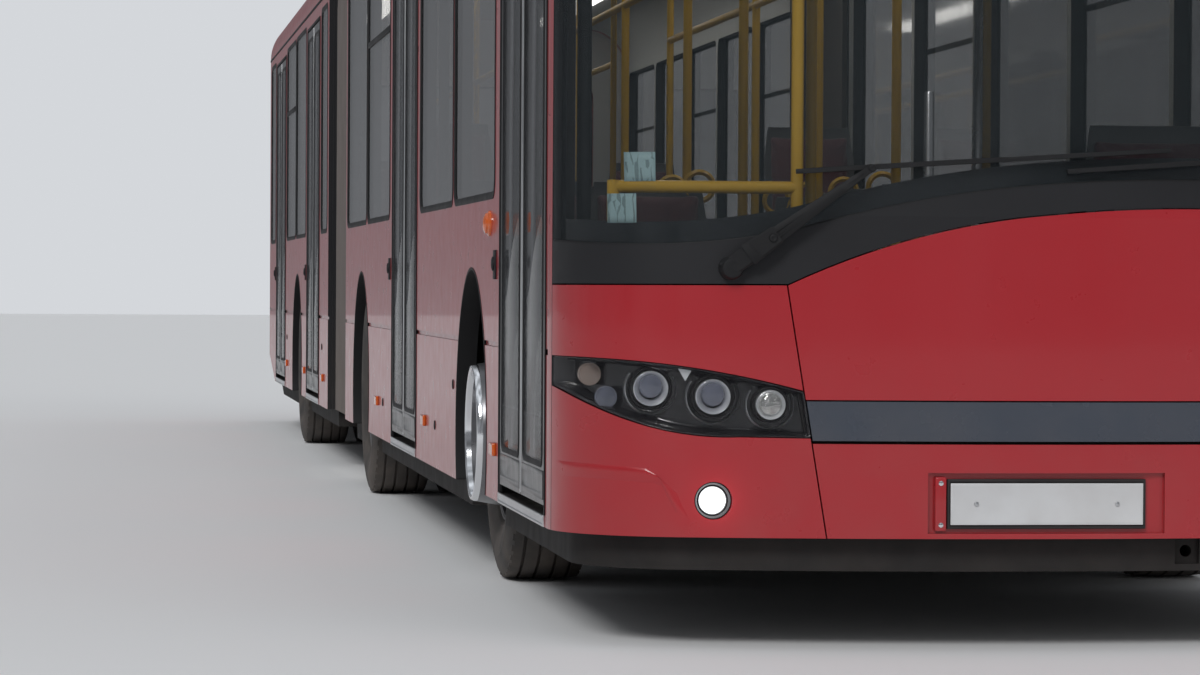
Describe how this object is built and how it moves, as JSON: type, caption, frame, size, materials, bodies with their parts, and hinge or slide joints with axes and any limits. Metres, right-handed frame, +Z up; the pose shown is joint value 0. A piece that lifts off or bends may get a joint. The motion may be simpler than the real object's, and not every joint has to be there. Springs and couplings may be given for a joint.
{
  "type": "articulated low-floor city bus",
  "caption": "Articulated city bus: front and trailing sections hinged at a turntable with pleated bellows, inward-gliding double doors, steered front wheels and twin wheels behind.",
  "frame": {"origin": "on the road, midway along and across the bus", "axes": "+Z up, the bus faces -Y, +X to the driver's side, doors on the -X side"},
  "size_m": [2.55, 18.1723, 3],
  "materials": {
    "red_paint": "gloss",
    "roof_paint": "gloss",
    "black_plastic": "gloss",
    "screen_glass": "clear",
    "side_glass": "tinted",
    "door_leaf": "satin",
    "door_post": "satin",
    "lamp": "gloss",
    "tail_lamp": "gloss",
    "floor": "matte",
    "bellows": "matte",
    "tyre": "matte",
    "rim": "satin",
    "steel": "matte",
    "seat": "matte",
    "handrail": "gloss",
    "dash": "matte"
  },
  "bodies": {
    "front_section": {"nose_frame": "floor", "front_floor": "floor", "front_left_wall": "red_paint", "front_right_wall": "red_paint", "front_roof": "roof_paint", "front_panels": "red_paint", "bumper": "red_paint", "black_trim": "black_plastic", "windscreen": "screen_glass", "headlamps": "lamp", "front_side_glass": "side_glass", "mirrors": "black_plastic", "wipers": "black_plastic", "driver_cab": "dash", "front_seats": "seat", "front_handrails": "handrail", "front_axle": "steel", "mid_axle": "steel", "engine": "steel", "bellows": "bellows"},
    "rear_section": {"rear_floor": "floor", "rear_left_wall": "red_paint", "rear_right_wall": "red_paint", "rear_roof": "roof_paint", "tail_panel": "red_paint", "tail_lamps": "tail_lamp", "rear_side_glass": "side_glass", "rear_seats": "seat", "rear_handrails": "handrail", "rear_axle": "steel"},
    "left_knuckle": {"left_knuckle": "steel"},
    "right_knuckle": {"right_knuckle": "steel"},
    "front_left_wheel": {"front_left_tyre": "tyre", "front_left_rim": "rim"},
    "mid_left_wheels": {"mid_left_tyres": "tyre", "mid_left_rims": "rim"},
    "rear_left_wheels": {"rear_left_tyres": "tyre", "rear_left_rims": "rim"},
    "front_right_wheel": {"front_right_tyre": "tyre", "front_right_rim": "rim"},
    "mid_right_wheels": {"mid_right_tyres": "tyre", "mid_right_rims": "rim"},
    "rear_right_wheels": {"rear_right_tyres": "tyre", "rear_right_rims": "rim"},
    "door_1_front_post": {"door_1_front_post": "door_post"},
    "door_1_front_leaf": {"door_1_front_leaf": "door_leaf"},
    "door_1_rear_post": {"door_1_rear_post": "door_post"},
    "door_1_rear_leaf": {"door_1_rear_leaf": "door_leaf"},
    "door_2_front_post": {"door_2_front_post": "door_post"},
    "door_2_front_leaf": {"door_2_front_leaf": "door_leaf"},
    "door_2_rear_post": {"door_2_rear_post": "door_post"},
    "door_2_rear_leaf": {"door_2_rear_leaf": "door_leaf"},
    "door_3_front_post": {"door_3_front_post": "door_post"},
    "door_3_front_leaf": {"door_3_front_leaf": "door_leaf"},
    "door_3_rear_post": {"door_3_rear_post": "door_post"},
    "door_3_rear_leaf": {"door_3_rear_leaf": "door_leaf"},
    "door_4_front_post": {"door_4_front_post": "door_post"},
    "door_4_front_leaf": {"door_4_front_leaf": "door_leaf"},
    "door_4_rear_post": {"door_4_rear_post": "door_post"},
    "door_4_rear_leaf": {"door_4_rear_leaf": "door_leaf"}
  },
  "joints": [
    {"name": "articulation", "type": "hinge", "parent": "front_section", "child": "rear_section", "pos_m": [0, 1.18, 0.25], "axis": [0, 0, 1], "range_deg": [-45, 45], "deforming": ["bellows"]},
    {"name": "steer_left", "type": "hinge", "parent": "front_section", "child": "left_knuckle", "pos_m": [0.99, -6.17, 0.4785], "axis": [0, 0, 1], "range_deg": [-45, 45]},
    {"name": "front_left_roll", "type": "hinge", "parent": "left_knuckle", "child": "front_left_wheel", "pos_m": [1.05, -6.17, 0.4785], "axis": [1, 0, 0], "continuous": true},
    {"name": "mid_left_roll", "type": "hinge", "parent": "front_section", "child": "mid_left_wheels", "pos_m": [0.95, -0.72, 0.4785], "axis": [1, 0, 0], "continuous": true},
    {"name": "rear_left_roll", "type": "hinge", "parent": "rear_section", "child": "rear_left_wheels", "pos_m": [0.95, 5.13, 0.4785], "axis": [1, 0, 0], "continuous": true},
    {"name": "steer_right", "type": "hinge", "parent": "front_section", "child": "right_knuckle", "pos_m": [-0.99, -6.17, 0.4785], "axis": [0, 0, 1], "range_deg": [-45, 45]},
    {"name": "front_right_roll", "type": "hinge", "parent": "right_knuckle", "child": "front_right_wheel", "pos_m": [-1.05, -6.17, 0.4785], "axis": [1, 0, 0], "continuous": true},
    {"name": "mid_right_roll", "type": "hinge", "parent": "front_section", "child": "mid_right_wheels", "pos_m": [-0.95, -0.72, 0.4785], "axis": [1, 0, 0], "continuous": true},
    {"name": "rear_right_roll", "type": "hinge", "parent": "rear_section", "child": "rear_right_wheels", "pos_m": [-0.95, 5.13, 0.4785], "axis": [1, 0, 0], "continuous": true},
    {"name": "door_1_front_swing", "type": "hinge", "parent": "front_section", "child": "door_1_front_post", "pos_m": [-1.175, -8.386, 1.4], "axis": [0, 0, -1], "range_deg": [0, 90]},
    {"name": "door_1_front_fold", "type": "hinge", "parent": "door_1_front_post", "child": "door_1_front_leaf", "pos_m": [-1.175, -8.063, 1.4], "axis": [0, 0, -1], "range_deg": [-180, 0]},
    {"name": "door_1_rear_swing", "type": "hinge", "parent": "front_section", "child": "door_1_rear_post", "pos_m": [-1.175, -7.084, 1.4], "axis": [0, 0, 1], "range_deg": [0, 90]},
    {"name": "door_1_rear_fold", "type": "hinge", "parent": "door_1_rear_post", "child": "door_1_rear_leaf", "pos_m": [-1.175, -7.407, 1.4], "axis": [0, 0, 1], "range_deg": [-180, 0]},
    {"name": "door_2_front_swing", "type": "hinge", "parent": "front_section", "child": "door_2_front_post", "pos_m": [-1.175, -3.936, 1.4], "axis": [0, 0, -1], "range_deg": [0, 90]},
    {"name": "door_2_front_fold", "type": "hinge", "parent": "door_2_front_post", "child": "door_2_front_leaf", "pos_m": [-1.175, -3.613, 1.4], "axis": [0, 0, -1], "range_deg": [-180, 0]},
    {"name": "door_2_rear_swing", "type": "hinge", "parent": "front_section", "child": "door_2_rear_post", "pos_m": [-1.175, -2.634, 1.4], "axis": [0, 0, 1], "range_deg": [0, 90]},
    {"name": "door_2_rear_fold", "type": "hinge", "parent": "door_2_rear_post", "child": "door_2_rear_leaf", "pos_m": [-1.175, -2.957, 1.4], "axis": [0, 0, 1], "range_deg": [-180, 0]},
    {"name": "door_3_front_swing", "type": "hinge", "parent": "rear_section", "child": "door_3_front_post", "pos_m": [-1.175, 2.754, 1.4], "axis": [0, 0, -1], "range_deg": [0, 90]},
    {"name": "door_3_front_fold", "type": "hinge", "parent": "door_3_front_post", "child": "door_3_front_leaf", "pos_m": [-1.175, 3.077, 1.4], "axis": [0, 0, -1], "range_deg": [-180, 0]},
    {"name": "door_3_rear_swing", "type": "hinge", "parent": "rear_section", "child": "door_3_rear_post", "pos_m": [-1.175, 4.056, 1.4], "axis": [0, 0, 1], "range_deg": [0, 90]},
    {"name": "door_3_rear_fold", "type": "hinge", "parent": "door_3_rear_post", "child": "door_3_rear_leaf", "pos_m": [-1.175, 3.733, 1.4], "axis": [0, 0, 1], "range_deg": [-180, 0]},
    {"name": "door_4_front_swing", "type": "hinge", "parent": "rear_section", "child": "door_4_front_post", "pos_m": [-1.175, 6.614, 1.4], "axis": [0, 0, -1], "range_deg": [0, 90]},
    {"name": "door_4_front_fold", "type": "hinge", "parent": "door_4_front_post", "child": "door_4_front_leaf", "pos_m": [-1.175, 6.937, 1.4], "axis": [0, 0, -1], "range_deg": [-180, 0]},
    {"name": "door_4_rear_swing", "type": "hinge", "parent": "rear_section", "child": "door_4_rear_post", "pos_m": [-1.175, 7.916, 1.4], "axis": [0, 0, 1], "range_deg": [0, 90]},
    {"name": "door_4_rear_fold", "type": "hinge", "parent": "door_4_rear_post", "child": "door_4_rear_leaf", "pos_m": [-1.175, 7.593, 1.4], "axis": [0, 0, 1], "range_deg": [-180, 0]}
  ],
  "couplings": [
    {"joint": "steer_right", "follows": "steer_left", "ratio": 1},
    {"joint": "door_1_front_fold", "follows": "door_1_front_swing", "ratio": -2},
    {"joint": "door_1_rear_fold", "follows": "door_1_front_swing", "ratio": -2},
    {"joint": "door_1_rear_swing", "follows": "door_1_front_swing", "ratio": 1},
    {"joint": "door_2_front_fold", "follows": "door_2_front_swing", "ratio": -2},
    {"joint": "door_2_rear_fold", "follows": "door_2_front_swing", "ratio": -2},
    {"joint": "door_2_rear_swing", "follows": "door_2_front_swing", "ratio": 1},
    {"joint": "door_3_front_fold", "follows": "door_3_front_swing", "ratio": -2},
    {"joint": "door_3_rear_fold", "follows": "door_3_front_swing", "ratio": -2},
    {"joint": "door_3_rear_swing", "follows": "door_3_front_swing", "ratio": 1},
    {"joint": "door_4_front_fold", "follows": "door_4_front_swing", "ratio": -2},
    {"joint": "door_4_rear_fold", "follows": "door_4_front_swing", "ratio": -2},
    {"joint": "door_4_rear_swing", "follows": "door_4_front_swing", "ratio": 1}
  ]
}
